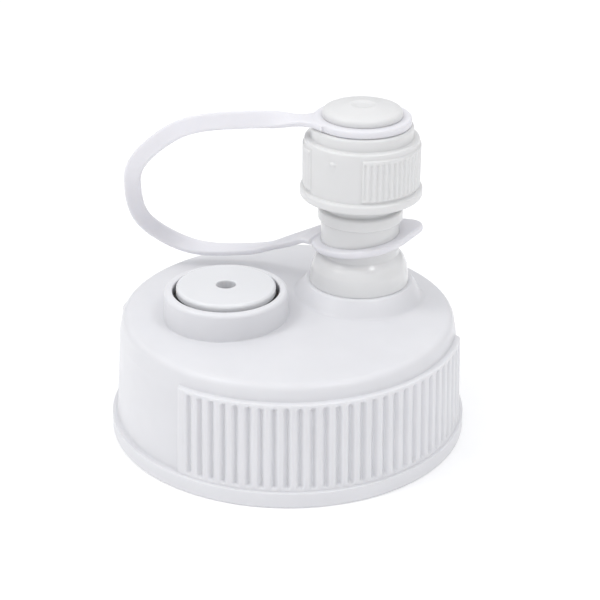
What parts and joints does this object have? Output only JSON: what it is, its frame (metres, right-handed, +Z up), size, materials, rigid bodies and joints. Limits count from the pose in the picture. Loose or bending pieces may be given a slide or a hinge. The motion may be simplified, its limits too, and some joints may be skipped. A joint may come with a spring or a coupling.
{
  "type": "vented pour spout closure",
  "caption": "Wide-neck screw cap with a threaded pouring nozzle, a small ribbed cap on a flexible tether, and a spring-loaded push-to-vent button.",
  "frame": {"origin": "the main cap's axis at the plane of its lower rim, where it stands", "axes": "+Z up along the main cap's axis, +X from the vent button towards the pouring spout, +Y to the side that the tether's loop leans over"},
  "size_m": [0.07, 0.07, 0.0642],
  "materials": {
    "white_polypropylene": "satin moulded",
    "white_glossy_plastic": "gloss moulded",
    "white_soft_polyethylene": "satin, slightly waxy",
    "grey_seal_foam": "matt closed-cell foam",
    "black_rubber": "matt",
    "spring_steel": "drawn wire"
  },
  "bodies": {
    "closure": {"main_cap": "white_polypropylene", "neck_gasket": "grey_seal_foam", "spout_nozzle": "white_glossy_plastic", "nozzle_seal_ring": "black_rubber", "nozzle_lock_nut": "white_glossy_plastic", "vent_spring": "spring_steel"},
    "vent": {"vent_button": "white_polypropylene", "vent_wiper_ring": "black_rubber", "vent_stem": "white_polypropylene", "vent_valve_seal": "black_rubber"},
    "tether": {"tether_neck_ring": "white_soft_polyethylene", "tether_strap": "white_soft_polyethylene"},
    "cap_ring": {"tether_cap_ring": "white_soft_polyethylene"},
    "liner": {"spout_cap_liner": "grey_seal_foam"},
    "spout_cap": {"spout_cap": "white_polypropylene"}
  },
  "joints": [
    {"name": "vent_press", "type": "slide", "parent": "closure", "child": "vent", "axis": [0, 0, 1], "range_m": [-0.002, 0], "stiffness_N_per_m": 300, "springref_m": 0.003, "deforming": ["vent_spring"]},
    {"name": "tether_swivel", "type": "hinge", "parent": "closure", "child": "tether", "pos_m": [0.015, 0, 0.03685], "axis": [0, 0, 1], "range_deg": [-240, 15]},
    {"name": "ring_lift", "type": "slide", "parent": "tether", "child": "cap_ring", "axis": [0, 0, 1], "range_m": [0, 0.00751], "deforming": ["tether_strap"]},
    {"name": "liner_lift", "type": "slide", "parent": "closure", "child": "liner", "axis": [0, 0, 1], "range_m": [0, 0.00751]},
    {"name": "cap_turn", "type": "hinge", "parent": "liner", "child": "spout_cap", "pos_m": [0.015, 0, 0.0462], "axis": [0, 0, 1], "range_deg": [0, 900]}
  ],
  "couplings": [
    {"joint": "ring_lift", "follows": "cap_turn", "m_per_rad": 0.00047746},
    {"joint": "liner_lift", "follows": "cap_turn", "m_per_rad": 0.00047746}
  ]
}
